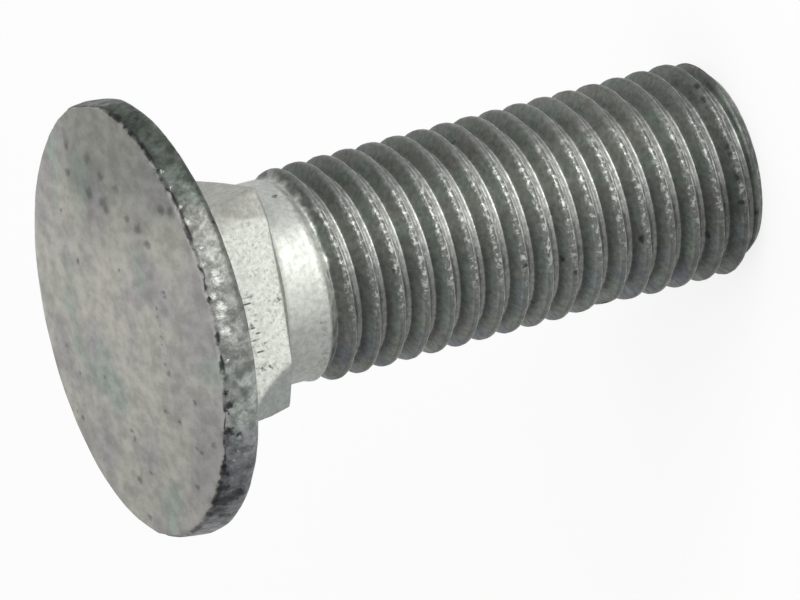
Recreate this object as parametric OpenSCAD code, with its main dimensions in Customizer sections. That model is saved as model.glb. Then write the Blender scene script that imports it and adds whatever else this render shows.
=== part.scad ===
// Low round-head bolt with a square neck and a coarse right-hand thread, forged in one piece.
// The bolt stands on its threaded end: z = 0 is the end face and +Z runs up the axis to the head.

/* [Head] */
// Diameter of the round head at its seat
head_d = 32.5; // [30:0.5:40]
// Height of the rim, from the seat to the edge of the face
rim_h = 2.3; // [2:0.1:4]
// How far the rim draws in between the seat and the face
rim_draft = 0.3; // [0.1:0.1:1]
// Rise of the domed face from its edge to its centre
crown_h = 0.8; // [0.4:0.1:2]
// Rounding of the rim beside the face
face_edge_r = 0.4; // [0.3:0.1:1]
// Rounding of the rim beside the seat
seat_edge_r = 0.5; // [0.2:0.1:0.8]

/* [Neck] */
// Height of the square neck under the seat
neck_h = 7.1; // [5:0.1:10]
// How much narrower the neck is across its flats than the thread
neck_under = 0; // [0:0.1:1]
// Height under the seat over which the corners are whole
corner_full_h = 2.4; // [2:0.1:4]
// How far the trimmed corners stand out past the flats at the lower end
corner_stand = 1.9; // [1:0.1:2.4]
// Height of the slope from the trimmed corners in to the blank
toe_h = 0.7; // [0.3:0.1:1.5]
// Blend between the neck and the seat
root_blend = 0.8; // [0.3:0.1:1.2]

/* [Shank] */
// Length from the seat to the end face
bolt_l = 46; // [40:1:80]
// Length of the plain blank between the neck and the thread
blank_l = 2.8; // [2:0.1:8]
// How much thinner the blank is than the thread
blank_under = 0.8; // [0.6:0.1:1.4]

/* [Thread] */
// Diameter over the crests
thread_d = 16; // [14:0.5:18]
// Pitch of the thread
pitch = 2; // [1.5:0.25:2.5]
// Length over which the thread fades into the blank
runout_l = 1.6; // [1:0.1:5]
// Angle about the axis at which the thread starts
start_deg = 285; // [0:5:355]
// Width of the chamfer round the end face
end_chamfer_w = 1.3; // [1:0.1:2]
// Height of the chamfer round the end face
end_chamfer_h = 1.5; // [1:0.1:4]

/* [Hidden] */
$fn = 96;

// Overrun of pieces that run into one another
overrun = 0.5;
// Step between the blank and the thread that runs up inside it
seat_step = 0.12;
// Straight sides in one turn of the thread, and in one rounded edge of the head
turn_sides = 40;
edge_sides = 8;
crown_sides = 16;

head_r = head_d / 2;
face_r = head_r - rim_draft;
seat_z = bolt_l;
neck_w = thread_d - neck_under;
corner_r = neck_w / sqrt(2);
corner_end_r = neck_w / 2 + corner_stand;
corner_slope = (corner_r - corner_end_r) / (neck_h - corner_full_h - toe_h);
blank_r = (thread_d - blank_under) / 2;
blank_top_z = seat_z - neck_h;
blank_end_z = blank_top_z - blank_l;

// Sixty-degree thread: crest and root as shares of the pitch, with straight flanks between
crest_share = 0.2;
root_share = 0.175;
flank_share = (1 - crest_share - root_share) / 2;
thread_r = thread_d / 2;
thread_depth = flank_share * pitch / tan(30);
end_r = thread_r - end_chamfer_w;
thread_seat_r = blank_r - seat_step;
thread_top_z = blank_end_z + overrun;
// Where each corner of the thread's section lies along the pitch, and how deep it is
corner_shares = [0, crest_share, crest_share + flank_share, 1 - flank_share];
depth_shares = [0, 0, 1, 1];
corners = len(corner_shares);
// Spare turns below the end face, which are trimmed away at it
spare_turns = 3;
rows = corners * (ceil(thread_top_z / pitch) + spare_turns + 2);
// Least height between the thread's corners and the flat ends
least_step = pitch / turn_sides / 2;

zinc_grey = [0.62, 0.62, 0.59];

// Points on an arc about a centre, from one angle to another
function arc(centre, radius, from_deg, to_deg, sides) = [
    for (k = [0 : sides])
        let (a = from_deg + (to_deg - from_deg) * k / sides)
        [centre[0] + radius * cos(a), centre[1] + radius * sin(a)]
];

// Half section of the head: flat seat, drafted rim with rounded edges, domed face
module head_section() {
    face_edge_in_r = face_r - face_edge_r;
    crown_r = (face_edge_in_r * face_edge_in_r + crown_h * crown_h) / (2 * crown_h);
    crown_deg = asin(face_edge_in_r / crown_r);
    polygon(concat(
        [[0, 0]],
        arc([head_r - seat_edge_r, seat_edge_r], seat_edge_r, -90, 0, edge_sides),
        arc([face_edge_in_r, rim_h - face_edge_r], face_edge_r, 0, 90 - crown_deg, edge_sides),
        arc([0, rim_h + crown_h - crown_r], crown_r, 90 - crown_deg, 90, crown_sides)
    ));
}

module head() {
    translate([0, 0, seat_z])
        rotate_extrude()
            head_section();
}

// Round outline that trims the square neck's corners towards the shank
module neck_trim() {
    corner_top_r = corner_end_r + corner_slope * (neck_h - toe_h + overrun);
    rotate_extrude()
        polygon([
            [0, 0],
            [blank_r, 0],
            [corner_end_r, toe_h],
            [corner_top_r, neck_h + overrun],
            [0, neck_h + overrun]
        ]);
}

// Square collar that slopes from the neck's flats out to the seat
module neck_root() {
    low_w = neck_w - 2 * overrun;
    high_w = neck_w + 2 * (root_blend + overrun);
    translate([0, 0, neck_h - root_blend - overrun])
        rotate(45)
            cylinder(
                h = root_blend + 2 * overrun,
                r1 = low_w / sqrt(2),
                r2 = high_w / sqrt(2),
                $fn = 4
            );
}

module neck() {
    translate([0, 0, blank_top_z]) {
        intersection() {
            translate([-neck_w / 2, -neck_w / 2, 0])
                cube([neck_w, neck_w, neck_h + overrun]);
            neck_trim();
        }
        neck_root();
    }
}

module blank() {
    translate([0, 0, blank_end_z])
        cylinder(h = blank_l + overrun, r = blank_r);
}

// Height of one corner of the thread's section, by its side of the turn and its row
function corner_z(side, row) =
    pitch * (floor(row / corners) - spare_turns + corner_shares[row % corners] + side / turn_sides);

// Share of the full thread that is left as it fades into the blank
function thread_left_share(z) = max(0, min(1, (blank_end_z - z) / runout_l));

// Radius of the thread's section at a height, within the chamfer of the end
function section_r(z, depth_share) = min(
    end_r + z * end_chamfer_w / end_chamfer_h,
    thread_seat_r + (thread_r - depth_share * thread_depth - thread_seat_r) * thread_left_share(z)
);

// Point of the thread's skin: the first row is the end's edge, the last is the edge in the blank
function skin_point(side, row) =
    let (
        a = start_deg + 360 * side / turn_sides,
        first = row == 0,
        last = row == rows - 1,
        z = first ? 0 : last ? thread_top_z : corner_z(side, row),
        r = first ? end_r : last ? thread_seat_r : section_r(z, depth_shares[row % corners])
    )
    [r * cos(a), r * sin(a), z];

// Number of a point, with rows past the flat ends drawn in to the end's edges.
// The last side of a turn meets the first side one pitch further up.
function point_at(side, row) =
    side == turn_sides ? point_at(0, row + corners)
    : corner_z(side, row) < least_step ? side * rows
    : corner_z(side, row) > thread_top_z - least_step ? side * rows + rows - 1
    : side * rows + row;

// Triangle of three different points, or nothing where two of them have run together
function triangle(a, b, c) = a == b || b == c || c == a ? [] : [[a, b, c]];

module thread() {
    points = [
        for (side = [0 : turn_sides - 1])
            for (row = [0 : rows - 1])
                skin_point(side, row)
    ];
    skin = [
        for (side = [0 : turn_sides - 1])
            for (row = [0 : rows - 2])
                let (
                    low = point_at(side, row),
                    low_next = point_at(side + 1, row),
                    high = point_at(side, row + 1),
                    high_next = point_at(side + 1, row + 1)
                )
                each concat(triangle(low, high, high_next), triangle(low, high_next, low_next))
    ];
    end_face = [for (side = [0 : turn_sides - 1]) side * rows];
    top_face = [for (side = [turn_sides - 1 : -1 : 0]) side * rows + rows - 1];
    polyhedron(points = points, faces = concat(skin, [end_face], [top_face]));
}

module bolt() {
    color(zinc_grey)
        union() {
            head();
            neck();
            blank();
            thread();
        }
}

bolt();
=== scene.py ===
import math

import bmesh
import bpy
from mathutils import Matrix, Vector
from mathutils.bvhtree import BVHTree


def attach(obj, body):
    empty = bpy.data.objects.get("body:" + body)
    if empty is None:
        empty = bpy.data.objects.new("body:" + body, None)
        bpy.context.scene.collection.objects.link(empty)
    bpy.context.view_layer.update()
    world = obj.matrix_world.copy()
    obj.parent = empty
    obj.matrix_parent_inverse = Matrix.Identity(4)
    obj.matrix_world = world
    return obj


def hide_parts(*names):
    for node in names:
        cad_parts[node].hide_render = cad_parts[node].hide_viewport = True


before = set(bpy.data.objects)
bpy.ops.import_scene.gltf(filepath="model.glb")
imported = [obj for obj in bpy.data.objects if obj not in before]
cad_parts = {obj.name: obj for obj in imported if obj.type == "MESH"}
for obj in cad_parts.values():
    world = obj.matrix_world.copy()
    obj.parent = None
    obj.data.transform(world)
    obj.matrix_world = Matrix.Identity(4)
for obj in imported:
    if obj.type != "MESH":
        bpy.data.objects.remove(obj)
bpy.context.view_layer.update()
mm = 0.001
bpy.context.scene.view_settings.view_transform = "Standard"


# Node helpers: a number is typed into a socket, a socket is wired to it
def newNode(tree, kind, **settings):
    node = tree.nodes.new(kind)
    for name, value in settings.items():
        setattr(node, name, value)
    return node


def feed(tree, socket, value):
    if isinstance(value, bpy.types.NodeSocket):
        tree.links.new(value, socket)
    else:
        socket.default_value = value


def calc(tree, operation, *values, clamp=False):
    node = newNode(tree, "ShaderNodeMath", operation=operation, use_clamp=clamp)
    for socket, value in zip(node.inputs, values):
        feed(tree, socket, value)
    return node.outputs[0]


def ramp(tree, value, low, high, outLow=0.0, outHigh=1.0, smooth=True):
    kind = "SMOOTHSTEP" if smooth else "LINEAR"
    node = newNode(tree, "ShaderNodeMapRange", interpolation_type=kind)
    for socket, given in zip(node.inputs, (value, low, high, outLow, outHigh)):
        feed(tree, socket, given)
    return node.outputs[0]


def bandMask(tree, value, rise, fall):  # one between two slopes
    return calc(tree, "MULTIPLY", ramp(tree, value, *rise), ramp(tree, value, *fall, 1.0, 0.0))


def curve(tree, value, points):
    node = newNode(tree, "ShaderNodeFloatCurve")
    line = node.mapping.curves[0]
    while len(line.points) < len(points):
        line.points.new(0.5, 0.5)
    for point, (x, y) in zip(line.points, points):
        point.location = (x, y)
        point.handle_type = "VECTOR"
    node.mapping.update()
    feed(tree, node.inputs["Value"], value)
    return node.outputs[0]


def namedInput(tree, name, kind):  # gives the identifier that a modifier sets it by
    return tree.interface.new_socket(name, in_out="INPUT", socket_type=kind).identifier


def closeTree(tree, name, geometry, finish):  # the result is real geometry with its finish
    tree.interface.new_socket(name, in_out="OUTPUT", socket_type="NodeSocketGeometry")
    real = newNode(tree, "GeometryNodeRealizeInstances")
    feed(tree, real.inputs["Geometry"], geometry)
    dressed = newNode(tree, "GeometryNodeSetMaterial")
    feed(tree, dressed.inputs["Geometry"], real.outputs[0])
    feed(tree, dressed.inputs["Material"], finish)
    feed(tree, newNode(tree, "NodeGroupOutput").inputs[0], dressed.outputs[0])


# Sizes in mm, in the frame: z = 0 is the end face, the seat of the head is at seatZ
bolt = {
    "sides": 240,  # columns round the axis, shared by every ring
    "seatZ": 46.0,
    "blankR": 7.52,
    "blankL": 2.8,
    "neckW": 16.2,
    "neckH": 7.1,
    # width of the facets on the neck's corners at the shank, on the -X and the +X side
    "cornerCut": (3.3, 2.0),
    "cutFade": (0.13, 0.085),  # how it shrinks with the height squared
    "cutLeast": 0.3,
    "cutSlope": 0.58,  # the facets' depth over their width
    "cutSoft": 0.12,
    "flatShort": (0.11, 0.01),  # how far short of the full width a corner starts and ends turning flat
    "toeH": 0.7,
    "toeFine": 1.3,  # fine rings reach this many times as high
    "toeLean": -0.05,  # the neck's lower end runs a little askew, rise per mm along X
    "rootBlend": 0.8,
    "headR": 16.29,
    "rimH": 2.3,
    "rimDraft": 0.3,
    "rimFull": 0.35,  # how much further out the face's edge lies on the +X side
    "fullNarrow": (8, 16),  # how soon that dies out, on the near and the far side
    "rimFlat": 0.3,  # depth of a flat struck on the head's +X side
    "flatTurn": 2.6,  # its angle about the axis
    "flatSoft": 0.06,  # how softly it ends
    "crownH": 0.8,
    "faceEdgeR": 0.4,
    "seatEdgeR": 0.5,
    "creaseAt": 0.6,  # where on the face's edge, as an angle, the rim's zinc ends
    "creaseWide": 1.5,
    "neckShift": -0.42,  # the neck sits a little off the shank's axis, along X
    "leanH": 2.5,  # height over which that sets in
    "seatShift": (0.01, -0.28),  # so do the head's seat and its face
    "faceShift": (-0.19, 0.1),
    "seatLean": (0.007, 0.015),  # rise of the seat per mm along X and Y
    "faceLean": (-0.016, -0.003),  # rise of the face per mm
    "weld": 0.003,
}
ringCount = {
    "blank": 8,
    "toe": 10,
    "neck": 18,
    "root": 5,
    "seat": 7,
    "seatEdge": 5,
    "rim": 7,
    "faceEdge": 8,
    "face": 36,
    "end": 6,
}
threadCut = {
    "crestR": 8.0,
    "pitch": 2.0,
    "depth": 1.08,
    "startTurn": 285.0 / 360.0,  # where the crest starts round the axis
    "runout": 1.6,
    "chamferW": 1.3,
    "chamferH": 1.5,
    "chamferLean": 0.03,  # the end is cut a little askew, rise per mm along X
    "leanH": 1.0,  # height over which that sets in, so the end face stays round
    "endGap": 0.02,  # lower rows than this lie on the end's edge
    "weld": 0.002,
    "spareTurns": 3,  # below the end
    "turnsOver": 2,  # above the thread
    # rows along one pitch, from the crest's tip side to the next crest, and the depth at each as a share
    "rowShares": (0.0, 0.05, 0.1, 0.15, 0.2, 0.27, 0.36, 0.45, 0.51, 0.55, 0.6, 0.65, 0.69, 0.73, 0.87),
    "depthShares": (0.04, 0.0, 0.0, 0.0, 0.04, 0.24, 0.51, 0.78, 0.93, 0.985, 1.0, 1.0, 0.985, 0.93, 0.47),
}
threadTop = bolt["seatZ"] - bolt["neckH"] - bolt["blankL"]
zinc = bpy.data.materials.new("galvanisedZinc")
zones = {
    "end": -1.0,
    "thread": 0.0,
    "blank": 1.0,
    "corner": 2.0,
    "flat": 3.0,
    "seat": 4.0,
    "rim": 5.0,
    "face": 6.0,
}


def rolledThread():
    cut = threadCut
    tree = bpy.data.node_groups.new("rolledThread", "GeometryNodeTree")
    perTurn = len(cut["rowShares"])
    turns = math.ceil(threadTop / cut["pitch"]) + cut["spareTurns"] + cut["turnsOver"]
    given = {
        "Sides": bolt["sides"],
        "Rows": perTurn * turns,
        "Pitch": cut["pitch"] * mm,
        "Crest Radius": cut["crestR"] * mm,
        "Depth": cut["depth"] * mm,
        "Blank Radius": bolt["blankR"] * mm,
        "Top": threadTop * mm,
        "Runout": cut["runout"] * mm,
        "Chamfer Width": cut["chamferW"] * mm,
        "Chamfer Height": cut["chamferH"] * mm,
        "Chamfer Lean": cut["chamferLean"],
        "Lean Height": cut["leanH"] * mm,
        "End Gap": cut["endGap"] * mm,
        "Weld": cut["weld"] * mm,
        "Start Turn": cut["startTurn"] + cut["spareTurns"],
    }
    keys = {}
    for name, value in given.items():
        kind = "NodeSocketInt" if isinstance(value, int) else "NodeSocketFloat"
        keys[name] = namedInput(tree, name, kind)
    finishKey = namedInput(tree, "Finish", "NodeSocketMaterial")
    size = newNode(tree, "NodeGroupInput").outputs
    grid = newNode(tree, "GeometryNodeMeshGrid")
    lastRow = calc(tree, "SUBTRACT", size["Rows"], 1.0)
    feed(tree, grid.inputs["Size X"], size["Sides"])
    feed(tree, grid.inputs["Size Y"], lastRow)
    feed(tree, grid.inputs["Vertices X"], calc(tree, "ADD", size["Sides"], 1.0))
    feed(tree, grid.inputs["Vertices Y"], size["Rows"])
    place = newNode(tree, "ShaderNodeSeparateXYZ")
    feed(tree, place.inputs[0], newNode(tree, "GeometryNodeInputPosition").outputs[0])
    column = calc(tree, "ROUND", calc(tree, "MULTIPLY_ADD", size["Sides"], 0.5, place.outputs["X"]))
    row = calc(tree, "ROUND", calc(tree, "MULTIPLY_ADD", lastRow, 0.5, place.outputs["Y"]))
    turn = calc(tree, "FLOOR", calc(tree, "DIVIDE", calc(tree, "ADD", row, 0.5), float(perTurn)))
    rowInTurn = calc(tree, "SUBTRACT", row, calc(tree, "MULTIPLY", turn, float(perTurn)))
    step = calc(tree, "DIVIDE", rowInTurn, float(perTurn))
    shareLine = [(k / perTurn, s) for k, s in enumerate(cut["rowShares"])] + [(1.0, 1.0)]
    depthLine = [(k / perTurn, s) for k, s in enumerate(cut["depthShares"])] + [(1.0, cut["depthShares"][0])]
    along = curve(tree, step, shareLine)
    deep = curve(tree, step, depthLine)
    roundShare = calc(tree, "DIVIDE", column, size["Sides"])
    fromStart = calc(tree, "SUBTRACT", roundShare, size["Start Turn"])
    turnsUp = calc(tree, "ADD", calc(tree, "ADD", turn, along), fromStart)
    z = calc(tree, "MULTIPLY", turnsUp, size["Pitch"])
    # the section fades into the blank at the top and is cut by the end's chamfer
    full = calc(tree, "SUBTRACT", size["Crest Radius"], calc(tree, "MULTIPLY", deep, size["Depth"]))
    left = calc(tree, "DIVIDE", calc(tree, "SUBTRACT", size["Top"], z), size["Runout"], clamp=True)
    proud = calc(tree, "SUBTRACT", full, size["Blank Radius"])
    faded = calc(tree, "MULTIPLY_ADD", proud, left, size["Blank Radius"])
    inside = calc(tree, "MAXIMUM", calc(tree, "MINIMUM", z, size["Top"]), 0.0)
    endR = calc(tree, "SUBTRACT", size["Crest Radius"], size["Chamfer Width"])
    slope = calc(tree, "DIVIDE", size["Chamfer Width"], size["Chamfer Height"])
    angle = calc(tree, "MULTIPLY", roundShare, 2 * math.pi)
    leanRise = calc(tree, "MULTIPLY", size["Crest Radius"], size["Chamfer Lean"])
    askew = calc(tree, "MULTIPLY", calc(tree, "COSINE", angle), leanRise)
    setIn = calc(tree, "DIVIDE", inside, size["Lean Height"], clamp=True)
    askew = calc(tree, "MULTIPLY", askew, setIn)
    cone = calc(tree, "MULTIPLY_ADD", calc(tree, "ADD", inside, askew), slope, endR)
    trimmed = calc(tree, "MINIMUM", faded, cone)
    below = calc(tree, "LESS_THAN", z, size["End Gap"])
    inward = calc(tree, "SUBTRACT", endR, trimmed)
    radius = calc(tree, "ADD", calc(tree, "MULTIPLY", below, inward), trimmed)
    height = calc(tree, "MULTIPLY", inside, calc(tree, "SUBTRACT", 1.0, below))
    spot = newNode(tree, "ShaderNodeCombineXYZ")
    feed(tree, spot.inputs["X"], calc(tree, "MULTIPLY", radius, calc(tree, "COSINE", angle)))
    feed(tree, spot.inputs["Y"], calc(tree, "MULTIPLY", radius, calc(tree, "SINE", angle)))
    feed(tree, spot.inputs["Z"], height)
    wound = newNode(tree, "GeometryNodeSetPosition")
    feed(tree, wound.inputs["Geometry"], grid.outputs["Mesh"])
    feed(tree, wound.inputs["Position"], spot.outputs[0])
    merged = newNode(tree, "GeometryNodeMergeByDistance")
    feed(tree, merged.inputs["Geometry"], wound.outputs[0])
    feed(tree, merged.inputs["Distance"], size["Weld"])
    closeTree(tree, "Thread", merged.outputs[0], size["Finish"])
    holder = bpy.data.objects.new("threadTurns", bpy.data.meshes.new("threadTurns"))
    bpy.context.scene.collection.objects.link(holder)
    turnsOn = holder.modifiers.new("rolledThread", "NODES")
    turnsOn.node_group = tree
    for name, value in given.items():
        turnsOn[keys[name]] = value
    turnsOn[finishKey] = zinc
    depsgraph = bpy.context.evaluated_depsgraph_get()
    mesh = bpy.data.meshes.new_from_object(holder.evaluated_get(depsgraph))
    holder.modifiers.remove(turnsOn)
    bpy.data.objects.remove(holder)
    print("thread wound, faces:", len(mesh.polygons))
    return mesh


def neckRadius(angle, h):  # h is the height above the neck's lower end
    side = 0 if math.cos(angle) < 0 else 1
    half = bolt["neckW"] / 2
    along, across = abs(math.cos(angle)), abs(math.sin(angle))
    square = half / max(along, across)
    wide = max(bolt["cornerCut"][side] - bolt["cutFade"][side] * h ** 2, bolt["cutLeast"])
    deep = wide * bolt["cutSlope"]
    facet = (half / wide + half / deep - 1) / (along / wide + across / deep)
    soft = bolt["cutSoft"]
    reach = min(square, facet) - soft * math.log(1 + math.exp(-abs(square - facet) / soft))
    if h < bolt["toeH"]:
        reach = bolt["blankR"] + (reach - bolt["blankR"]) * math.sin(math.pi / 2 * h / bolt["toeH"])
    return max(reach, bolt["blankR"])


def toeRise(angle, share):  # share is 1 at the neck's lower end, 0 where the lean has died out
    return bolt["toeLean"] * bolt["blankR"] * math.cos(angle) * share


def spread(low, high, count):  # count steps from low to high, without low
    return [low + (high - low) * (k + 1) / count for k in range(count)]


def fullAt(angle):
    narrow = bolt["fullNarrow"][0 if math.sin(angle) < 0 else 1]
    return bolt["rimFull"] * max(math.cos(angle), 0.0) ** narrow


def struck(angle, r):  # the head's radius, cut by the flat
    across = math.cos(angle - math.radians(bolt["flatTurn"]))
    if across <= 0:
        return r
    over = (r * across - bolt["headR"] + bolt["rimFlat"]) / bolt["flatSoft"]
    return r - bolt["flatSoft"] * math.log(1 + math.exp(over)) / across


def upperRings():  # each ring is a zone and a function of the angle, giving radius and height in mm
    rings = []

    def add(zone, shape):
        rings.append((zone, shape))

    neckZ = bolt["seatZ"] - bolt["neckH"]
    add(zones["blank"], lambda a: (bolt["blankR"], threadTop))
    for s in spread(0, 1, ringCount["blank"]):
        z = threadTop + bolt["blankL"] * s
        add(zones["blank"], lambda a, s=s, z=z: (bolt["blankR"], z + toeRise(a, s)))
    blendLow = bolt["neckH"] - bolt["rootBlend"]
    toeTop = bolt["toeH"] * bolt["toeFine"]
    for h in spread(0, toeTop, ringCount["toe"]) + spread(toeTop, blendLow, ringCount["neck"]):
        s = 1 - h / blendLow
        add(zones["corner"], lambda a, s=s, h=h: (neckRadius(a, h), neckZ + h + toeRise(a, s)))
    for t in spread(0, math.pi / 2, ringCount["root"]):
        out = bolt["rootBlend"] * (1 - math.cos(t))
        up = blendLow + bolt["rootBlend"] * math.sin(t)
        add(zones["corner"], lambda a, o=out, h=up: (neckRadius(a, h) + o, neckZ + h))
    seatOut = bolt["headR"] - bolt["seatEdgeR"]
    for s in spread(0, 1, ringCount["seat"]):
        add(zones["seat"], lambda a, s=s: (
            (neckRadius(a, bolt["neckH"]) + bolt["rootBlend"]) * (1 - s) + seatOut * s,
            bolt["seatZ"],
        ))
    for t in spread(-math.pi / 2, 0, ringCount["seatEdge"]):
        r = seatOut + bolt["seatEdgeR"] * math.cos(t)
        z = bolt["seatZ"] + bolt["seatEdgeR"] * (1 + math.sin(t))
        add(zones["rim"], lambda a, r=r, z=z: (struck(a, r), z))
    faceR = bolt["headR"] - bolt["rimDraft"]
    edgeIn = faceR - bolt["faceEdgeR"]
    edgeZ = bolt["seatZ"] + bolt["rimH"] - bolt["faceEdgeR"]
    for s in spread(0, 1, ringCount["rim"])[:-1]:
        r = bolt["headR"] - bolt["rimDraft"] * s
        z = bolt["seatZ"] + bolt["seatEdgeR"] + (edgeZ - bolt["seatZ"] - bolt["seatEdgeR"]) * s
        add(zones["rim"], lambda a, s=s, r=r, z=z: (struck(a, r + fullAt(a) * s), z))
    crownR = (edgeIn ** 2 + bolt["crownH"] ** 2) / (2 * bolt["crownH"])
    crownA = math.asin(edgeIn / crownR)
    for t in [0.0] + spread(0, math.pi / 2 - crownA, ringCount["faceEdge"]):
        r = edgeIn + bolt["faceEdgeR"] * math.cos(t)
        z = edgeZ + bolt["faceEdgeR"] * math.sin(t)
        edge = min(max((t - bolt["creaseAt"]) / bolt["creaseWide"] + 0.5, 0.0), 1.0)
        add(zones["rim"] + edge, lambda a, r=r, z=z: (struck(a, r + fullAt(a)), z))
    crownZ = bolt["seatZ"] + bolt["rimH"] + bolt["crownH"] - crownR
    rimLast = edgeIn + bolt["faceEdgeR"] * math.sin(crownA)
    for s in spread(1, 0, ringCount["face"])[:-1]:
        r = rimLast * s
        z = crownZ + math.sqrt(crownR ** 2 - min(r, edgeIn) ** 2)
        add(zones["face"], lambda a, s=s, r=r, z=z: (struck(a, r + fullAt(a) * s), z))
    return rings, crownZ + crownR


def lean(zone, spot):  # head and neck sit a little askew on the shank
    if zone < zones["seat"]:
        rise = (spot.z - bolt["seatZ"] + bolt["neckH"]) / bolt["leanH"]
        return spot + Vector((bolt["neckShift"] * min(max(rise, 0.0), 1.0), 0, 0))
    up = (spot.z - bolt["seatZ"]) / bolt["rimH"]
    share = min(max(up, 0.0), 1.0)
    shift = Vector(bolt["seatShift"]).lerp(Vector(bolt["faceShift"]), share)
    rise = Vector(bolt["seatLean"]).lerp(Vector(bolt["faceLean"]), share)
    return spot + Vector((*shift, rise.dot(spot.xy)))


def zoneAt(zone, angle, r):  # a neck ring is flat where it has the square's full width
    if zone != zones["corner"]:
        return zone
    across = r * max(abs(math.cos(angle)), abs(math.sin(angle)))
    start, end = bolt["flatShort"]
    flat = (across - bolt["neckW"] / 2 + start) / (start - end)
    return zones["corner"] + min(max(flat, 0.0), 1.0)


def forgedSkin():
    skin = bmesh.new()
    skin.from_mesh(rolledThread())
    layer = skin.verts.layers.float.new("zone")
    sides = bolt["sides"]

    def ringVerts(zone, shape):
        made = []
        for k in range(sides):
            a = 2 * math.pi * k / sides
            r, z = shape(a)
            vert = skin.verts.new(lean(zone, Vector((r * math.cos(a), r * math.sin(a), z))) * mm)
            vert[layer] = zoneAt(zone, a, r)
            made.append(vert)
        return made

    def stitch(low, high):
        for k in range(sides):
            n = (k + 1) % sides
            skin.faces.new((low[k], low[n], high[n], high[k]))

    rings, topZ = upperRings()
    last = None
    for zone, shape in rings:
        made = ringVerts(zone, shape)
        if last:
            stitch(last, made)
        last = made
    centre = skin.verts.new(lean(zones["face"], Vector((0, 0, topZ))) * mm)
    centre[layer] = zones["face"]
    for k in range(sides):
        skin.faces.new((last[k], last[(k + 1) % sides], centre))
    endR = threadCut["crestR"] - threadCut["chamferW"]
    last = ringVerts(zones["thread"], lambda a: (endR, 0.0))
    for s in spread(1, 0, ringCount["end"])[:-1]:
        made = ringVerts(zones["end"], lambda a, s=s: (endR * s, 0.0))
        stitch(made, last)
        last = made
    centre = skin.verts.new((0, 0, 0))
    centre[layer] = zones["end"]
    for k in range(sides):
        skin.faces.new((last[(k + 1) % sides], last[k], centre))
    bmesh.ops.remove_doubles(skin, verts=skin.verts, dist=bolt["weld"] * mm)
    bmesh.ops.recalc_face_normals(skin, faces=skin.faces)
    openEdges = sum(1 for e in skin.edges if not e.is_manifold)
    mesh = bpy.data.meshes.new("forgedBolt")
    skin.to_mesh(mesh)
    skin.free()
    mesh.polygons.foreach_set("use_smooth", [True] * len(mesh.polygons))
    print("skin closed, open edges:", openEdges, "faces:", len(mesh.polygons))
    return mesh


# Hot-dip zinc: lumps in mm, by seeded noise along the surface's own direction
zincLayer = {
    "Rim Lump": 0.08,
    "Rim Scale": 620.0,
    "Rim Seed": 4.0,
    "Crease Depth": 0.16,
    "Crease Scale": 700.0,
    "Crease Seed": 35.0,
    "Dent Depth": 0.05,
    "Dent Scale": 330.0,
    "Dent Seed": 15.0,
    "Nick Depth": 0.035,
    "Nick Scale": 1500.0,
    "Nick Seed": 27.0,
    "Noise Detail": 2.0,
    "Wear Depth": 0.28,
    "Wear Size": 3.4,
}
wornSpot = (-7.9, -1.2, 11.7)  # where the crests are knocked down, in mm
# Where each lies, by the zone's number: a pair is a rise, two pairs a rise and a fall
layerZone = {
    "rim": ((4.2, 4.9), (5.2, 5.9)),
    "face": (5.4, 6.0),
    "thread": ((-0.3, -0.05), (0.1, 0.6)),
    "crease": 5.5,
}
creaseSharp = 2.2  # how fast the crease rises to either side, per zone
creaseSunk = (-0.35, 0.35)  # noise at which the crease is closed and fully sunk


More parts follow.
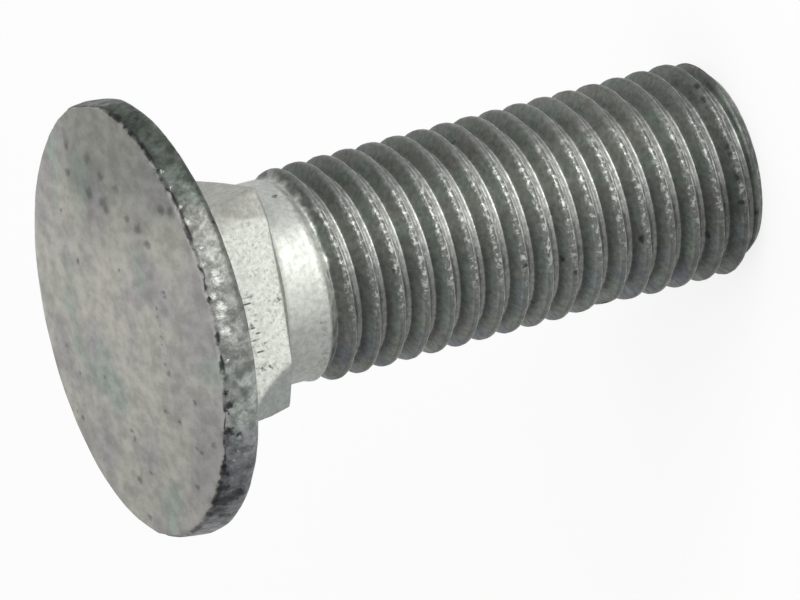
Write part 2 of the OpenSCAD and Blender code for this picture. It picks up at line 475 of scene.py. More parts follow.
def zincSkin(piece):
    tree = bpy.data.node_groups.new("zincSkin", "GeometryNodeTree")
    namedInput(tree, "Bolt", "NodeSocketGeometry")
    keys = {}
    for name in zincLayer:
        keys[name] = namedInput(tree, name, "NodeSocketFloat")
    finishKey = namedInput(tree, "Finish", "NodeSocketMaterial")
    size = newNode(tree, "NodeGroupInput").outputs
    zone = newNode(tree, "GeometryNodeInputNamedAttribute", data_type="FLOAT")
    zone.inputs["Name"].default_value = "zone"
    zone = zone.outputs["Attribute"]

    def lumps(name):  # noise about zero, one to either side
        node = newNode(tree, "ShaderNodeTexNoise", noise_dimensions="4D")
        feed(tree, node.inputs["W"], size[name + " Seed"])
        feed(tree, node.inputs["Scale"], size[name + " Scale"])
        feed(tree, node.inputs["Detail"], size["Noise Detail"])
        return calc(tree, "MULTIPLY_ADD", node.outputs["Fac"], 2.0, -1.0)

    def laidOn(mask, height, wave):
        return calc(tree, "MULTIPLY", calc(tree, "MULTIPLY", mask, size[height]), wave)

    rim = bandMask(tree, zone, *layerZone["rim"])
    face = ramp(tree, zone, *layerZone["face"])
    thread = bandMask(tree, zone, *layerZone["thread"])
    fromCrease = calc(tree, "ABSOLUTE", calc(tree, "SUBTRACT", zone, layerZone["crease"]))
    crease = calc(tree, "SUBTRACT", 1.0, calc(tree, "MULTIPLY", fromCrease, creaseSharp), clamp=True)
    bead = laidOn(rim, "Rim Lump", lumps("Rim"))
    dent = laidOn(face, "Dent Depth", lumps("Dent"))
    nick = laidOn(thread, "Nick Depth", lumps("Nick"))
    cut = laidOn(crease, "Crease Depth", ramp(tree, lumps("Crease"), *creaseSunk))
    away = newNode(tree, "ShaderNodeVectorMath", operation="DISTANCE")
    feed(tree, away.inputs[0], newNode(tree, "GeometryNodeInputPosition").outputs[0])
    feed(tree, away.inputs[1], Vector(wornSpot) * mm)
    near = ramp(tree, calc(tree, "DIVIDE", away.outputs["Value"], mm), 0.0, size["Wear Size"], 1.0, 0.0)
    worn = calc(tree, "MULTIPLY", near, size["Wear Depth"])
    raised = calc(tree, "ADD", calc(tree, "ADD", bead, dent), nick)
    total = calc(tree, "SUBTRACT", raised, calc(tree, "ADD", cut, worn))
    push = newNode(tree, "ShaderNodeVectorMath", operation="SCALE")
    feed(tree, push.inputs[0], newNode(tree, "GeometryNodeInputNormal").outputs[0])
    feed(tree, push.inputs["Scale"], calc(tree, "MULTIPLY", total, mm))
    laid = newNode(tree, "GeometryNodeSetPosition")
    feed(tree, laid.inputs["Geometry"], size["Bolt"])
    feed(tree, laid.inputs["Offset"], push.outputs[0])
    closeTree(tree, "Bolt", laid.outputs[0], size["Finish"])
    coat = piece.modifiers.new("zincSkin", "NODES")
    coat.node_group = tree
    for name, value in zincLayer.items():
        coat[keys[name]] = value
    coat[finishKey] = zinc
    depsgraph = bpy.context.evaluated_depsgraph_get()
    coated = piece.evaluated_get(depsgraph)
    mesh = bpy.data.meshes.new_from_object(coated, preserve_all_data_layers=True, depsgraph=depsgraph)
    piece.modifiers.remove(coat)
    piece.data = mesh
    print("zinc laid on, faces:", len(mesh.polygons))


# Camera: where the seat's centre falls in the 800 by 600 picture, and how the bolt lies to the view
shot = {
    "picture": (800.0, 600.0),
    "seatPixel": (157.5, 313.1),
    "pxPerMm": 13.753,
    "tilt": 22.52,  # elevation above the bolt's equator
    "roll": 15.0,  # rise of the bolt's axis in the picture
    "turn": 8.47,  # turn of the neck's near flat away from the view
    "lens": 800.0,
    "sensor": 36.0,
    "depth": 8.8,  # middle of the bolt behind the seat's centre, along the view
}


def viewAxes():
    tilt, roll, turn = (math.radians(shot[k]) for k in ("tilt", "roll", "turn"))
    near = Vector((math.sin(turn), -math.cos(turn), 0))
    side = Vector((math.cos(turn), math.sin(turn), 0))  # up the picture, across the axis
    back = near * math.cos(tilt) + Vector((0, 0, math.sin(tilt)))
    tipward = near * math.sin(tilt) - Vector((0, 0, math.cos(tilt)))
    right = tipward * math.cos(roll) - side * math.sin(roll)
    up = tipward * math.sin(roll) + side * math.cos(roll)
    return right, up, back


def cameraPlace():  # where the camera stands, in mm, and its axes
    right, up, back = viewAxes()
    dx = (shot["picture"][0] / 2 - shot["seatPixel"][0]) / shot["pxPerMm"]
    dy = (shot["seatPixel"][1] - shot["picture"][1] / 2) / shot["pxPerMm"]
    aim = Vector((0, 0, bolt["seatZ"])) + right * dx + up * dy
    away = shot["picture"][0] / shot["pxPerMm"] * shot["lens"] / shot["sensor"] - shot["depth"]
    return aim + back * away, right, up, back


def pixelRay(x, y):  # from the camera through a place in the picture
    spot, right, up, back = cameraPlace()
    wide, high = shot["picture"]
    step = shot["sensor"] / shot["lens"] / wide
    way = right * (x - wide / 2) * step + up * (high / 2 - y) * step - back
    return spot * mm, way.normalized()


def photoCamera():
    spot, right, up, back = cameraPlace()
    data = bpy.data.cameras.new("photoCamera")
    data.lens = shot["lens"]
    data.sensor_width = shot["sensor"]
    camera = bpy.data.objects.new("photoCamera", data)
    camera.matrix_world = Matrix((
        (right.x, up.x, back.x, spot.x * mm),
        (right.y, up.y, back.y, spot.y * mm),
        (right.z, up.z, back.z, spot.z * mm),
        (0, 0, 0, 1),
    ))
    bpy.context.scene.collection.objects.link(camera)
    bpy.context.scene.camera = camera


photoCamera()

# Zinc colours as they should render, zone by zone; some are painted light and shade on the zinc
zincColor = {
    "flank": (0.213, 0.246, 0.212),
    "flankWarm": (0.226, 0.229, 0.205),
    "flankBlue": (0.175, 0.192, 0.215),
    # painted shadow at the foot of the flank, also used for the dull patches near the end
    "flankShadowAndDull": (0.045, 0.05, 0.048),
    "crest": (0.13, 0.137, 0.127),
    # painted glints on the crests
    "crestGlint": (0.37, 0.38, 0.355),
    "root": (0.29, 0.298, 0.28),
    # painted highlight of the tip flank's bright line, and below it its shaded copy toward -X
    "tipFlankHighlight": (0.76, 0.77, 0.73),
    "tipFlankShade": (0.42, 0.43, 0.41),
    "end": (0.2, 0.21, 0.195),
    "blank": (0.335, 0.348, 0.325),
    # lit neck sides and the painted highlight on the blank
    "litZinc": (0.57, 0.585, 0.538),
    "corner": (0.275, 0.276, 0.25),
    "cornerLow": (0.272, 0.292, 0.278),
    "seat": (0.3, 0.3, 0.28),
    "rimDark": (0.1, 0.112, 0.102),
    # partly painted highlight on the rim's beads, and the painted highlight on the face's far edge
    "paleHighlight": (0.5, 0.51, 0.48),
    "face": (0.445, 0.437, 0.397),
    "faceCool": (0.372, 0.36, 0.355),
    "faceGreen": (0.35, 0.388, 0.35),
    "pit": (0.012, 0.012, 0.014),
}

# Noises in the zinc: scale per mm, detail, roughness, seed, and the values drawn out to 0 and 1
zincGrain = {
    "flankWarm": (0.35, 2.0, 0.5, 3.0, 0.4, 0.6),
    "flankBlue": (0.3, 2.0, 0.5, 21.0, 0.42, 0.6),
    "lineGlint": (1.5, 4.0, 0.7, 37.0, 0.0, 1.0),
    "crestGlint": (2.8, 3.0, 0.65, 5.0, 0.51, 0.58),
    "endDull": (0.8, 3.0, 0.6, 17.0, 0.35, 0.65),
    "blankEdge": (1.0, 2.0, 0.5, 20.0, 0.0, 1.0),
    "blankSheen": (0.9, 3.0, 0.6, 18.0, 0.15, 0.35),
    "dieTick": (1.8, 2.0, 0.5, 19.0, 0.4, 0.6),
    "flatSpeck": (3.2, 3.0, 0.7, 44.0, 0.52, 0.65),
    "rimSmear": (0.5, 3.0, 0.6, 32.0, 0.0, 1.0),
    "rimCloud": (1.4, 4.0, 0.65, 33.0, 0.0, 1.0),
    "rimDark": (0.7, 4.0, 0.6, 2.0, 0.5, 0.72),
    "faceCool": (0.16, 3.0, 0.55, 1.0, 0.42, 0.62),
    "faceGreen": (0.14, 2.0, 0.5, 8.0, 0.56, 0.68),
    "faceMottle": (1.1, 3.0, 0.6, 13.0, 0.3, 0.7),
    "creaseWander": (0.7, 2.0, 0.5, 6.0, 0.0, 1.0),
    "creaseSwell": (0.7, 2.0, 0.6, 26.0, 0.0, 1.0),
    "creaseBreak": (0.5, 3.0, 0.6, 46.0, 0.0, 1.0),
    "markFray": (2.6, 4.0, 0.65, 41.0),  # used as it is
    "speck": (1.0, 3.0, 0.5, 9.0, 0.64, 0.74),
    "fine": (2.6, 4.0, 0.65, 12.0, 0.3, 0.7),
    "gloss": (1.6, 3.0, 0.6, 4.0, 0.0, 1.0),
    "bump": (2.4, 5.0, 0.65, 14.0, 0.0, 1.0),
}

# Where one zone's colour gives way to the next, by the zone's number
zoneSpan = {
    "end": (-0.05, -0.3),
    "corner": (1.3, 1.7),
    "flat": (2.05, 2.95),
    "seat": (3.3, 3.7),
    "rim": (4.3, 4.7),
    "face": (5.15, 5.95),
    "onFace": (5.6, 5.9),
    "neckAndBlank": ((0.5, 1.0), (3.5, 4.0)),
}

# In the looks below a pair runs from none to full, and two pairs rise and fall again.
# Lap is a share of the pitch, X, Y, Z and R are in mm
threadLook = {
    "shadowLap": ((0.3, 0.54), (0.54, 0.56)),
    "shadowX": (4.0, 0.5),
    "shadow": (0.3, 0.72),
    "lineLap": (0.52, 0.57),
    "rootLap": ((0.53, 0.57), (0.64, 0.69)),
    "tipFadeLap": (0.74, 0.88),
    "tipFade": (1.0, 0.72),
    "tipShadeX": (1.5, -1.5),
    "glintFrom": (0.3, 0.7),
    "glint": (0.6, 1.4),
    "crestLap": ((0.02, 0.05), (0.19, 0.24)),
    "crestGlintLap": ((0.0, 0.05), (0.2, 0.29)),
    "crestGlintX": ((-5.0, -1.5), (4.0, 6.5)),
    "blueX": (-2.0, -6.5),
    "litSideX": (2.5, 5.5),
    "litSideZ": (20.0, 8.0),
    "litSide": (1.0, 1.4),
    "dullZ": (7.0, 1.5),
    "dull": 0.6,
    # painted light and shade: brightness of the flank and of the bright line, by the place across the shank
    # as a share of its width
    "flankPaintedLight": (
        (0.0, 0.8), (0.125, 0.87), (0.2, 1.0), (0.275, 0.87), (0.35, 0.79), (0.425, 0.72), (0.5, 0.62),
        (0.575, 0.56), (0.65, 0.63), (0.8, 0.57), (0.875, 0.49), (1.0, 0.51),
    ),
    "linePaintedLight": (
        (0.0, 0.68), (0.25, 0.7), (0.35, 0.58), (0.425, 0.68), (0.5, 0.88), (0.575, 0.95), (0.725, 0.87),
        (0.8, 0.74), (0.875, 0.5), (0.95, 0.4), (1.0, 0.38),
    ),
    # painted shade of both along the thread, darkest at the end, from the end to the blank
    "turnPaintedShade": ((0.0, 0.77), (0.2, 0.82), (0.4, 0.98), (0.7, 0.98), (0.85, 0.91), (1.0, 0.87)),
}
blankLook = {
    "fromZ": (35.3, 35.9),
    "slant": -0.3,  # how the painted highlight's side leans, per mm along X
    "side": (1.5, 5.5),
    "sheenX": (-4.0, 2.5),
    "sheen": (0.25, 1.0),
}
neckLook = {
    "lowX": (-2.0, -6.0),  # where the corners take their low colour
    "facing": (-0.3, 0.3),  # Y less X, where a side counts as a lit one and gets the painted light
    "litX": (7.4, 5.0),
    "tickStep": 0.45,  # from one tick of the die to the next
    "tickWave": (0.3, 0.9),
    "tickX": ((-4.2, -3.6), (0.2, 1.2)),
    "tickY": (0.0, -2.0),
    "tickZ": ((41.5, 41.8), (42.4, 42.9)),
    "speck": 0.62,
}
rimLook = {
    "smear": 4.0,  # how far the stains and painted shade run into one another
    "cloudFrom": (0.3, 0.7),
    "cloud": (0.66, 1.34),
    "dark": 0.6,
    "bead": 0.7,
    "stain": 0.85,
    # stains and painted shade round the rim, darkest toward +X: the place along X, and the colour there
    "stainsAndShade": (
        (-15.0, (0.13, 0.138, 0.142)),
        (-11.0, (0.104, 0.109, 0.116)),
        (-8.0, (0.19, 0.2, 0.203)),
        (-5.0, (0.265, 0.287, 0.262)),
        (0.0, (0.2, 0.207, 0.193)),
        (3.0, (0.138, 0.141, 0.13)),
        (7.5, (0.1, 0.101, 0.092)),
        (9.5, (0.057, 0.068, 0.057)),
        (13.0, (0.046, 0.055, 0.045)),
    ),
}
faceLook = {
    "draw": 0.62,  # the mottle and the pits are drawn out along Y, by one over this
    "highX": (3.0, 13.0),
    "highY": (9.0, 2.0),
    "high": 0.5,
    "nearY": (1.0, -12.0),
    "lowX": (-2.0, -12.0),
    "low": (0.0, 0.13),
    "edgeLightR": (14.9, 15.9),
    "edgeLightX": ((-3.0, 1.0), (7.0, 10.0)),
    "edgeLightY": (7.0, 12.0),
    "pit": 0.66,
    "mottle": (0.84, 1.16),
    "rough": 0.8,
}
creaseLook = {  # zones are numbers between the rim's and the face's
    "wanderFrom": (0.3, 0.7),
    "wander": (5.25, 5.75),
    "swellFrom": (0.34, 0.66),
    "swell": (0.12, 0.9),
    "soft": (0.0, 0.9),
    "within": ((5.0, 5.3), (5.7, 6.0)),
    "nearY": (6.0, -2.0),
    "faintX": ((-6.0, -3.0), (4.0, 8.0)),
    "faint": (0.55, 0.1),
    "breakFrom": (0.42, 0.58),
    "dark": 0.9,
}
skinLook = {
    "blackOn": (5.6, 6.0),  # from the rim to the face
    "black": (0.95, 0.2),
    "nick": 0.82,
    "speck": (0.6, 0.1),  # off the face and on it
    "fineLow": (0.82, 0.88),  # off the neck and the blank, and on them
    "fineHigh": (1.18, 1.12),
    "roughFrom": (0.2, 0.8),
    "rough": (0.36, 0.56),
    "metallic": 0.7,
    "specular": 0.3,
    "bump": (0.5, 0.15),  # off the face and on it
    "bumpDepth": 0.06,
    "beadBump": 2.0,
}

# Marks in the zinc: where each lies in the 800 by 600 picture, and its reach there
zincMarks = {
    "pit": (  # faint, on the face
        (68, 172, 6), (89, 193, 8), (115, 188, 7), (103, 203, 8), (106, 209, 7), (127, 219, 5),
        (138, 229, 7), (147, 245, 6), (161, 211, 7), (170, 212, 7), (78, 261, 4), (119, 270, 3),
        (163, 292, 3), (165, 297, 3), (195, 403, 4), (166, 411, 5), (132, 431, 4), (135, 439, 4),
        (140, 480, 6), (151, 473, 4), (197, 487, 4), (214, 446, 4), (197, 448, 4), (202, 453, 3),
        (150, 517, 5), (180, 422, 3), (67, 345, 3), (80, 373, 3), (105, 377, 3), (78, 412, 3),
        (83, 418, 3), (66, 145, 6), (87, 159, 8), (100, 177, 6), (61, 211, 3), (165, 364, 3),
        (169, 373, 4), (157, 309, 2), (158, 318, 2), (160, 327, 2), (161, 336, 2), (162, 345, 2),
        (164, 355, 2),
    ),
    "black": (  # along the crease and on the rim
        (86, 103, 4), (93, 103, 4), (101, 104, 6), (110, 113, 7), (117, 118, 9), (135, 118, 5),
        (124, 127, 5), (130, 134, 6), (140, 147, 6), (148, 160, 5), (154, 170, 4), (160, 181, 5),
        (166, 190, 5), (209, 300, 4), (226, 394, 4), (230, 405, 6), (226, 412, 4), (227, 433, 8),
        (240, 435, 4), (224, 468, 6), (226, 474, 6), (219, 489, 9), (226, 487, 9), (216, 503, 12),
        (223, 501, 14), (231, 498, 11), (239, 493, 9), (219, 510, 11), (212, 514, 9), (224, 515, 9),
    ),
    "stain": (
        (158, 151, 9), (171, 172, 12), (154, 125, 6), (186, 186, 6), (192, 197, 6), (184, 240, 6),
        (195, 241, 5), (203, 253, 5), (229, 291, 8), (237, 295, 6), (232, 312, 7), (233, 320, 6),
        (215, 329, 6), (225, 351, 7), (240, 375, 8), (245, 353, 6), (251, 364, 5), (246, 330, 6),
        (227, 376, 5), (245, 391, 9), (236, 446, 6),
    ),
    "bead": (
        (146, 164, 2), (160, 172, 3), (169, 188, 4), (179, 208, 4), (186, 222, 5), (187, 236, 4),
        (201, 248, 3), (203, 265, 4), (215, 273, 6), (217, 281, 7), (214, 297, 5), (222, 308, 7),
        (222, 316, 7), (226, 332, 7), (227, 361, 3), (237, 452, 2), (234, 460, 2), (232, 478, 2),
        (225, 510, 2), (216, 525, 2),
    ),
    "nick": (  # on the neck and the shank
        (263, 369, 3), (270, 366, 3), (252, 327, 3), (265, 343, 2), (237, 263, 2), (279, 299, 3),
        (277, 303, 2), (214, 222, 4), (275, 196, 4), (268, 300, 2), (395, 271, 4), (453, 144, 4),
        (525, 266, 4), (532, 301, 4), (697, 86, 5), (704, 100, 5), (727, 147, 4), (730, 154, 4),
        (738, 177, 5), (742, 203, 6), (756, 212, 5), (642, 239, 6), (562, 259, 5), (576, 273, 4),
        (708, 235, 5),
    ),
}
# How far a mark's outline frays, in mm, and how much of its reach is full
markEdge = {
    "pit": (0.8, 0.2),
    "black": (1.5, 0.3),
    "stain": (0.7, 0.1),
    "bead": (0.9, 0.0),
    "nick": (0.9, 0.15),
}
markEnd = 1.1  # where a mark has faded out, in reaches


def placesOn(mesh):  # each mark's place on the bolt and its reach, in mm
    corners = [v.co for v in mesh.vertices]
    skin = BVHTree.FromPolygons(corners, [p.vertices for p in mesh.polygons])
    places = {}
    for name, seen in zincMarks.items():
        places[name] = []
        for x, y, reach in seen:
            hit = skin.ray_cast(*pixelRay(x, y))[0]
            if hit:
                places[name].append((hit / mm, reach / shot["pxPerMm"]))
    print("marks placed:", {name: len(found) for name, found in places.items()})
    return places


def blend(tree, share, low, high):
    node = newNode(tree, "ShaderNodeMix", data_type="RGBA")
    feed(tree, node.inputs[0], share)
    for socket, value in ((node.inputs[6], low), (node.inputs[7], high)):  # its two colours
        feed(tree, socket, (*value, 1.0) if isinstance(value, tuple) else value)
    return node.outputs[2]


def bands(tree, value, stops):  # colours along a value, from the first stop to the last
    first, last = stops[0][0], stops[-1][0]
    node = newNode(tree, "ShaderNodeValToRGB")
    line = node.color_ramp.elements
    while len(line) < len(stops):
        line.new(0.5)
    for stop, (at, color) in zip(line, stops):
        stop.position = (at - first) / (last - first)
        stop.color = (*color, 1.0)
    feed(tree, node.inputs["Fac"], ramp(tree, value, first, last, smooth=False))
    return node.outputs["Color"]


def zincFinish(places):
    zinc.use_nodes = True
    tree = zinc.node_tree
    tint = zincColor
    shader = tree.nodes["Principled BSDF"]

    def vector(operation, *values):
        node = newNode(tree, "ShaderNodeVectorMath", operation=operation)
        for socket, value in zip(node.inputs, values):
            feed(tree, socket, value)
        return node.outputs

    perMm = (1 / mm, 1 / mm, 1 / mm)
    spot = vector("MULTIPLY", newNode(tree, "ShaderNodeTexCoord").outputs["Object"], perMm)[0]
    drawn = vector("MULTIPLY", spot, (1.0, faceLook["draw"], 1.0))[0]  # drawn out along Y, for the face
    part = newNode(tree, "ShaderNodeSeparateXYZ")
    feed(tree, part.inputs[0], spot)
    x, y, z = part.outputs
    zone = newNode(tree, "ShaderNodeAttribute", attribute_name="zone").outputs["Fac"]

    def times(*values):
        result = values[0]
        for value in values[1:]:
            result = calc(tree, "MULTIPLY", result, value)
        return result

    def along(value, span, shown=(0.0, 1.0), smooth=True):  # rises along a span
        return ramp(tree, value, *span, *shown, smooth=smooth)

    def within(value, spans):  # rises and falls again
        return bandMask(tree, value, *spans)

    def share(value, shown, smooth=True):  # a mask drawn out to what it should show
        return along(value, (0.0, 1.0), shown, smooth)

    def noise(name, at):
        node = newNode(tree, "ShaderNodeTexNoise", noise_dimensions="4D")
        feed(tree, node.inputs["Vector"], at)
        for socket, value in zip(("Scale", "Detail", "Roughness", "W"), zincGrain[name]):
            feed(tree, node.inputs[socket], value)
        return node.outputs

    def grain(name, at=spot):
        return along(noise(name, at)["Fac"], zincGrain[name][4:])

    def marks(name, at=spot, draw=1.0):  # one mask for a kind of mark, with frayed outlines
        fray, full = markEdge[name]
        frayBy = Vector((fray, fray, fray))
        frayed = vector("MULTIPLY_ADD", noise("markFray", at)["Color"], frayBy, at)[0]
        mask = 0.0
        for place, reach in places[name]:
            middle = Vector((place.x, place.y * draw, place.z)) + frayBy / 2
            away = vector("DISTANCE", frayed, middle)["Value"]
            mask = calc(tree, "MAXIMUM", mask, along(away, (reach * full, reach * markEnd), (1.0, 0.0)))
        return mask

    def toned(color, value):  # a colour made brighter or darker
        node = newNode(tree, "ShaderNodeHueSaturation")
        feed(tree, node.inputs["Color"], color)
        feed(tree, node.inputs["Value"], value)
        return node.outputs[0]

    def threadColor():
        look = threadLook
        # share of the pitch at a point, by the same rule that winds the thread
        angle = calc(tree, "DIVIDE", calc(tree, "ARCTAN2", y, x), 2 * math.pi)
        turns = calc(tree, "SUBTRACT", calc(tree, "DIVIDE", z, threadCut["pitch"]), angle)
        lap = calc(tree, "FRACT", calc(tree, "ADD", turns, threadCut["startTurn"] + threadCut["spareTurns"]))
        color = blend(tree, grain("flankWarm"), tint["flank"], tint["flankWarm"])
        blue = times(along(x, look["blueX"]), grain("flankBlue"))
        color = blend(tree, blue, color, tint["flankBlue"])
        across = ramp(tree, x, -threadCut["crestR"], threadCut["crestR"], smooth=False)
        # painted light and shade on the flank, by the place across the shank
        color = toned(color, curve(tree, across, look["flankPaintedLight"]))
        # painted light: the flank is lighter toward +X near the end
        litSide = times(along(x, look["litSideX"]), along(z, look["litSideZ"]))
        color = toned(color, share(litSide, look["litSide"]))
        shadow = times(within(lap, look["shadowLap"]), along(x, look["shadowX"], look["shadow"]))
        color = blend(tree, shadow, color, tint["flankShadowAndDull"])
        # painted highlight: the root and the tip side are coloured as a bright line, uneven along the turn
        # and duller toward -X
        tip = blend(tree, along(x, look["tipShadeX"]), tint["tipFlankHighlight"], tint["tipFlankShade"])
        tip = toned(tip, along(lap, look["tipFadeLap"], look["tipFade"]))
        tip = toned(tip, along(grain("lineGlint"), look["glintFrom"], look["glint"]))
        line = blend(tree, within(lap, look["rootLap"]), tip, tint["root"])
        line = toned(line, curve(tree, across, look["linePaintedLight"]))
        beforeCrest = along(lap, look["crestLap"][0], (1.0, 0.0))
        onLine = calc(tree, "MAXIMUM", along(lap, look["lineLap"]), beforeCrest)
        color = blend(tree, onLine, color, line)
        color = blend(tree, within(lap, look["crestLap"]), color, tint["crest"])
        # painted glints: bright dots on the crests, only across the middle of the shank
        crestGlints = times(within(lap, look["crestGlintLap"]), grain("crestGlint"), within(x, look["crestGlintX"]))
        color = blend(tree, crestGlints, color, tint["crestGlint"])
        # painted shade along the thread, darkest at the end
        color = toned(color, curve(tree, ramp(tree, z, 0.0, threadTop, smooth=False), look["turnPaintedShade"]))
        dull = times(along(z, look["dullZ"]), grain("endDull"), look["dull"])
        return blend(tree, dull, color, tint["flankShadowAndDull"])

    def blankColor():  # painted highlight: brighter along one side, leaning with X and fading toward -X
        look = blankLook
        slant = calc(tree, "ABSOLUTE", calc(tree, "MULTIPLY_ADD", x, look["slant"], y))
        side = calc(tree, "SUBTRACT", slant, calc(tree, "ABSOLUTE", x))
        sheen = times(along(side, look["side"]), grain("blankSheen"))
        sheen = times(sheen, along(x, look["sheenX"], look["sheen"]))
        return blend(tree, sheen, tint["blank"], tint["litZinc"])

    def flatColor():  # painted light: two sides are lit bright and the others shaded, the near one with the die's ticks beside the head
        look = neckLook
        facing = calc(tree, "SUBTRACT", calc(tree, "ABSOLUTE", y), calc(tree, "ABSOLUTE", x))
        lit = times(along(facing, look["facing"]), along(x, look["litX"]))
        color = blend(tree, lit, tint["corner"], tint["litZinc"])
        wave = calc(tree, "SINE", calc(tree, "MULTIPLY", x, 2 * math.pi / look["tickStep"]))
        tick = times(along(wave, look["tickWave"]), within(x, look["tickX"]), within(z, look["tickZ"]))
        tick = times(tick, along(y, look["tickY"]), grain("dieTick"))
        color = blend(tree, tick, color, tint["rimDark"])
        return blend(tree, times(grain("flatSpeck"), look["speck"]), color, tint["corner"])

    def rimColor(beads):
        look = rimLook
        middle = calc(tree, "ADD", x, -look["smear"] / 2)
        smeared = calc(tree, "MULTIPLY_ADD", grain("rimSmear"), look["smear"], middle)
        # stains and painted shade along X, darkest toward +X
        color = bands(tree, smeared, look["stainsAndShade"])
        color = toned(color, along(grain("rimCloud"), look["cloudFrom"], look["cloud"]))
        color = blend(tree, times(grain("rimDark"), look["dark"]), color, tint["rimDark"])
        # pale zinc beads, their colour partly a painted highlight
        color = blend(tree, times(beads, look["bead"]), color, tint["paleHighlight"])
        return blend(tree, times(marks("stain"), look["stain"]), color, tint["rimDark"])

    def faceColor():
        look = faceLook
        color = blend(tree, grain("faceCool"), tint["face"], tint["faceCool"])
        color = blend(tree, grain("faceGreen"), color, tint["faceGreen"])
        shade = times(along(x, look["highX"]), along(y, look["highY"]), look["high"])
        color = blend(tree, shade, color, tint["rimDark"])
        shade = calc(tree, "ADD", along(y, look["nearY"], look["low"]), along(x, look["lowX"], look["low"]))
        color = blend(tree, shade, color, tint["rimDark"])
        # painted highlight along the far edge
        fromAxis = vector("LENGTH", vector("MULTIPLY", spot, (1.0, 1.0, 0.0))[0])["Value"]
        edgeLight = times(along(fromAxis, look["edgeLightR"]), along(y, look["edgeLightY"]), within(x, look["edgeLightX"]))
        color = blend(tree, edgeLight, color, tint["paleHighlight"])
        return blend(tree, times(marks("pit", drawn, look["draw"]), look["pit"]), color, tint["rimDark"])

    def creaseLine():  # a near-black line along the crease between rim and face, that wanders, swells, breaks and dies out
        look = creaseLook
        wander = along(grain("creaseWander"), look["wanderFrom"], look["wander"], smooth=False)
        off = calc(tree, "ABSOLUTE", calc(tree, "SUBTRACT", zone, wander))
        swell = along(grain("creaseSwell"), look["swellFrom"], look["swell"])
        gap = calc(tree, "SUBTRACT", 1.0, calc(tree, "DIVIDE", off, swell), clamp=True)
        gap = times(along(gap, look["soft"]), within(zone, look["within"]), along(y, look["nearY"]))
        faint = share(within(x, look["faintX"]), look["faint"])
        broken = along(grain("creaseBreak"), look["breakFrom"], (faint, 1.0))
        return times(gap, broken, look["dark"])

    look = skinLook
    beads = marks("bead")
    onFace = along(zone, zoneSpan["onFace"])
    onShank = within(zone, zoneSpan["neckAndBlank"])
    blankFrom = calc(tree, "ADD", z, grain("blankEdge"))
    color = blend(tree, along(zone, zoneSpan["end"]), threadColor(), tint["end"])
    color = blend(tree, along(blankFrom, blankLook["fromZ"]), color, blankColor())
    layers = {
        "corner": blend(tree, along(x, neckLook["lowX"]), tint["corner"], tint["cornerLow"]),
        "flat": flatColor(),
        "seat": tint["seat"],
        "rim": rimColor(beads),
        "face": faceColor(),
    }
    for name, layer in layers.items():
        color = blend(tree, along(zone, zoneSpan[name]), color, layer)
    color = blend(tree, creaseLine(), color, tint["pit"])
    black = times(marks("black"), along(zone, look["blackOn"], look["black"]))
    color = blend(tree, black, color, tint["pit"])
    color = blend(tree, times(marks("nick"), look["nick"]), color, tint["pit"])
    color = blend(tree, times(grain("speck"), share(onFace, look["speck"])), color, tint["rimDark"])
    fine = share(grain("fine"), (share(onShank, look["fineLow"]), share(onShank, look["fineHigh"])))
    mottle = share(grain("faceMottle", drawn), faceLook["mottle"], smooth=False)
    color = toned(color, share(onFace, (fine, mottle), smooth=False))
    feed(tree, shader.inputs["Base Color"], color)
    rough = along(grain("gloss"), look["roughFrom"], look["rough"])
    feed(tree, shader.inputs["Roughness"], share(onFace, (rough, faceLook["rough"])))
    shader.inputs["Metallic"].default_value = look["metallic"]
    shader.inputs["Specular IOR Level"].default_value = look["specular"]
    bump = newNode(tree, "ShaderNodeBump")
    feed(tree, bump.inputs["Strength"], share(onFace, look["bump"]))
    feed(tree, bump.inputs["Distance"], look["bumpDepth"] * mm)
    feed(tree, bump.inputs["Height"], calc(tree, "MULTIPLY_ADD", beads, look["beadBump"], grain("bump")))
    feed(tree, shader.inputs["Normal"], bump.outputs[0])
    print("zinc mixed, nodes:", len(tree.nodes))


piece = bpy.data.objects.new("forgedBolt", forgedSkin())
bpy.context.scene.collection.objects.link(piece)
zincFinish(placesOn(piece.data))
zincSkin(piece)
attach(piece, "root")
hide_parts("bolt")
print("bolt dressed")

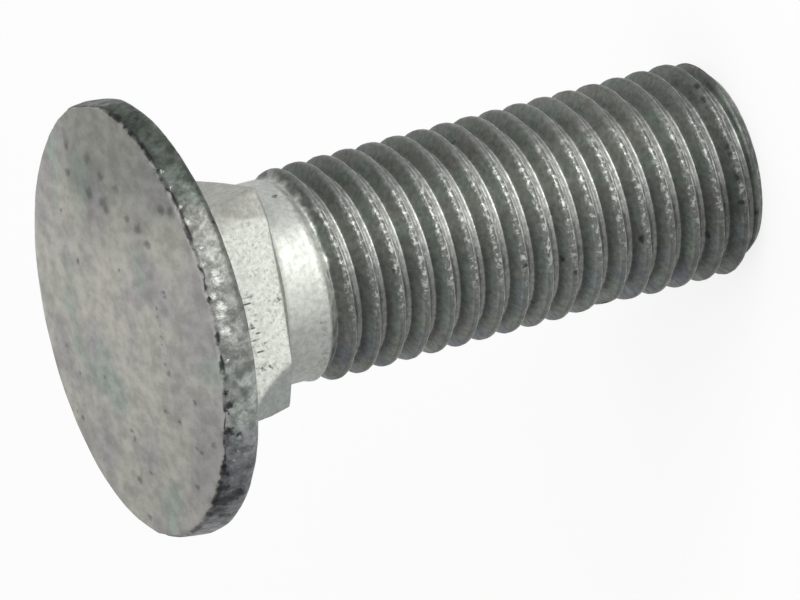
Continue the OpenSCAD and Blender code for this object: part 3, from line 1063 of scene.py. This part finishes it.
studio = {
    "floorSize": 4.0,
    "floorColor": (0.9, 0.9, 0.9, 1),
    "floorRough": 0.9,
    "floorWhite": 0.8,  # share of plain white where the camera sees the floor
    "skyStrength": 0.75,
    "keyFrom": (0.35, -0.45, 0.15),
    "keyAim": (0, 0, 0.02),
    "keySize": 0.5,
    "keyPower": 5.5,
}


def studioLight():
    world = bpy.data.worlds.new("studio")
    world.use_nodes = True
    bpy.context.scene.world = world
    world.node_tree.nodes["Background"].inputs["Color"].default_value = (1, 1, 1, 1)
    world.node_tree.nodes["Background"].inputs["Strength"].default_value = studio["skyStrength"]
    lamp = bpy.data.lights.new("softKey", "AREA")
    lamp.size = studio["keySize"]
    lamp.energy = studio["keyPower"]
    key = bpy.data.objects.new("softKey", lamp)
    key.location = studio["keyFrom"]
    way = Vector(studio["keyAim"]) - key.location
    key.rotation_euler = way.to_track_quat("-Z", "Y").to_euler()
    key.visible_camera = False
    bpy.context.scene.collection.objects.link(key)


def paleFloor():
    half = studio["floorSize"] / 2
    mesh = bpy.data.meshes.new("floor")
    corners = [(-half, -half, 0), (half, -half, 0), (half, half, 0), (-half, half, 0)]
    mesh.from_pydata(corners, [], [(0, 1, 2, 3)])
    floor = bpy.data.objects.new("floor", mesh)
    material = bpy.data.materials.new("paleFloor")
    material.use_nodes = True
    tree = material.node_tree
    shader = tree.nodes["Principled BSDF"]
    shader.inputs["Base Color"].default_value = studio["floorColor"]
    shader.inputs["Roughness"].default_value = studio["floorRough"]
    white = newNode(tree, "ShaderNodeEmission")
    feed(tree, white.inputs["Strength"], 1.0)
    seen = newNode(tree, "ShaderNodeMixShader")
    path = newNode(tree, "ShaderNodeLightPath").outputs
    mirrored = calc(tree, "MAXIMUM", path["Is Glossy Ray"], path["Is Transmission Ray"])
    shown = calc(tree, "MAXIMUM", path["Is Camera Ray"], mirrored)
    feed(tree, seen.inputs[0], calc(tree, "MULTIPLY", shown, studio["floorWhite"]))
    feed(tree, seen.inputs[1], shader.outputs[0])
    feed(tree, seen.inputs[2], white.outputs[0])
    feed(tree, tree.nodes["Material Output"].inputs["Surface"], seen.outputs[0])
    mesh.materials.append(material)
    bpy.context.scene.collection.objects.link(floor)


studioLight()
paleFloor()
print("studio set")
